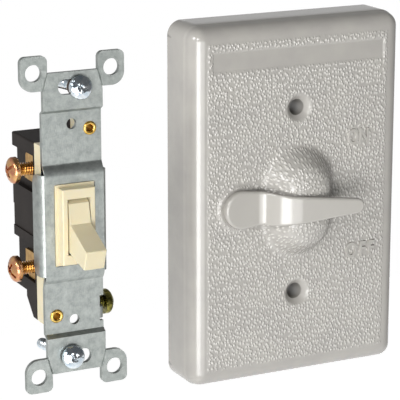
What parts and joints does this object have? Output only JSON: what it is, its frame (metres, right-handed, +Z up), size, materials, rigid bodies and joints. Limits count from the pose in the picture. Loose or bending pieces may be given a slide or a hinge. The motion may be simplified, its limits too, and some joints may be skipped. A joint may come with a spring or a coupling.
{
  "type": "outdoor weatherproof switch",
  "caption": "Cast weatherproof wall cover with a pivoting lever over a domed toggle housing, and the toggle switch on a steel mounting strap that it covers.",
  "frame": {"origin": "midway between the cover's two screw holes, in the plane of the cover's back rim, which seats on the outlet box", "axes": "+X to the right across both faces, +Y backwards into the wall, +Z up; the cover stands at the origin and the toggle switch beside it at -X, both facing -Y"},
  "size_m": [0.1333, 0.0424, 0.1162],
  "materials": {
    "cast_paint": "grey textured paint",
    "lever_paint": "smooth grey paint",
    "zinc_steel": "zinc plated",
    "spring_steel": "satin",
    "seal_rubber": "matte",
    "gasket_foam": "closed-cell foam",
    "ivory_plastic": "semi-gloss",
    "black_plastic": "moulded thermoset",
    "brass": "satin",
    "contact_silver": "silver alloy",
    "terminal_brass": "polished",
    "ground_green": "dark green chromate",
    "fibre": "vulcanised fibre"
  },
  "bodies": {
    "fixed": {"cover_plate": "cast_paint", "gasket": "gasket_foam", "mounting_strap": "zinc_steel", "front_housing": "ivory_plastic", "rear_housing": "black_plastic", "fixed_contact": "contact_silver", "upper_terminal": "brass", "lower_terminal": "brass", "upper_terminal_screw": "terminal_brass", "lower_terminal_screw": "terminal_brass", "ground_screw": "ground_green", "upper_eyelet": "brass", "lower_eyelet": "brass", "upper_mounting_screw": "zinc_steel", "lower_mounting_screw": "zinc_steel", "upper_captive_washer": "fibre", "lower_captive_washer": "fibre"},
    "lever_group": {"lever": "lever_paint", "actuator_fork": "zinc_steel", "retaining_clip": "spring_steel", "lever_o_ring": "seal_rubber", "spring_washer": "spring_steel"},
    "toggle_group": {"toggle": "ivory_plastic", "plunger": "brass", "toggle_spring": "spring_steel"},
    "rocker_group": {"contact_rocker": "brass", "moving_contact": "contact_silver"}
  },
  "joints": [
    {"name": "lever_turn", "type": "hinge", "parent": "fixed", "child": "lever_group", "pos_m": [-0.0211, -0.0172, 0], "axis": [0, 1, 0], "range_deg": [-20, 20]},
    {"name": "toggle_flip", "type": "hinge", "parent": "fixed", "child": "toggle_group", "pos_m": [-0.0793, -0.017, 0.0036], "axis": [-1, 0, 0], "range_deg": [0, 39]},
    {"name": "contact_rock", "type": "hinge", "parent": "fixed", "child": "rocker_group", "pos_m": [-0.0793, -0.0061, 0.0036], "axis": [1, 0, 0], "range_deg": [0, 14.1]}
  ],
  "couplings": [
    {"joint": "contact_rock", "follows": "toggle_flip", "ratio": 0.35897}
  ]
}
